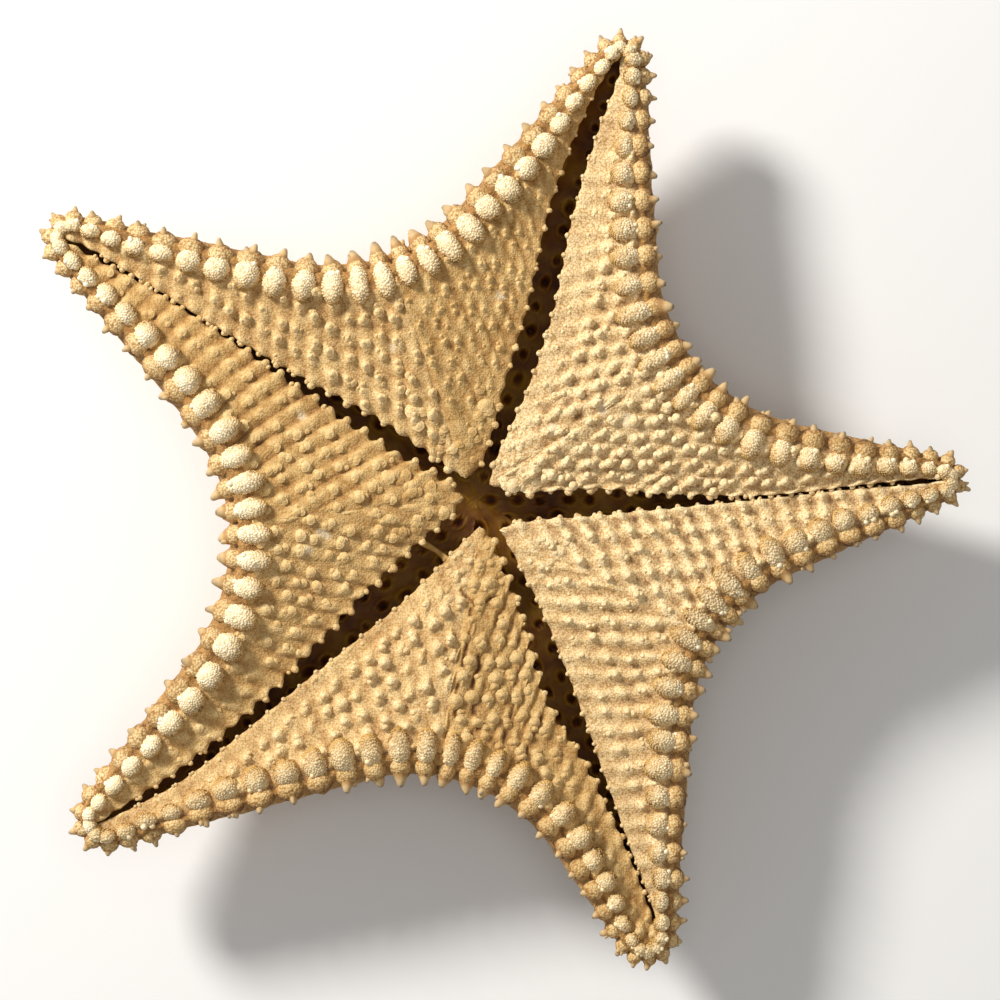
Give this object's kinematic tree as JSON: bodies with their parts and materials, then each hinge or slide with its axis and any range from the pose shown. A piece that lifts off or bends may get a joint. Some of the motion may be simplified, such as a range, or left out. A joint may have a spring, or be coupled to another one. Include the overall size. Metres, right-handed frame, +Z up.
{
  "type": "dried starfish",
  "caption": "Dried hollow five-armed cushion sea star lying on its back, its mouth side up with the arm grooves split open.",
  "frame": {"origin": "centre of the disc on the surface it rests on, at the flat worn top of the middle tubercle of its back", "axes": "+Z up out of the mouth side, +X along the right-hand arm as seen from above, +Y to the left of that arm"},
  "size_m": [0.2252, 0.2279, 0.0398],
  "materials": {
    "skeleton": "matte"
  },
  "bodies": {
    "root": {"starfish": "skeleton"}
  },
  "joints": []
}
